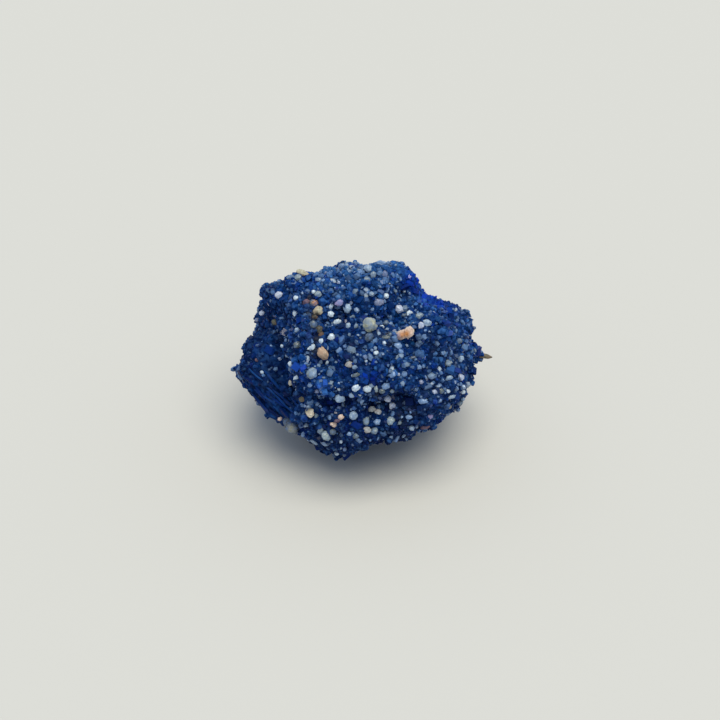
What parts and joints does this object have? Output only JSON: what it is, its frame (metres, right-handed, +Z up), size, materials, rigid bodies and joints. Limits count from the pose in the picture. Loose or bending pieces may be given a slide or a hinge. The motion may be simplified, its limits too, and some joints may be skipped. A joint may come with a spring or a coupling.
{
  "type": "azurite nodule",
  "caption": "Small rough nodule of sand cemented by deep-blue azurite, with pale, tan and grey grains on its knobbly crystalline crust.",
  "frame": {"origin": "the middle of the bounding box's bottom face, on the surface that the nodule rests on", "axes": "+X along the nodule's longest side, to the viewer's right; -Y towards the viewer; +Z up"},
  "size_m": [0.0246, 0.0204, 0.0195],
  "materials": {
    "azurite": null,
    "quartz_sand": null,
    "ochre_sand": null
  },
  "bodies": {
    "root": {"azurite_nodule": "azurite"}
  },
  "joints": []
}
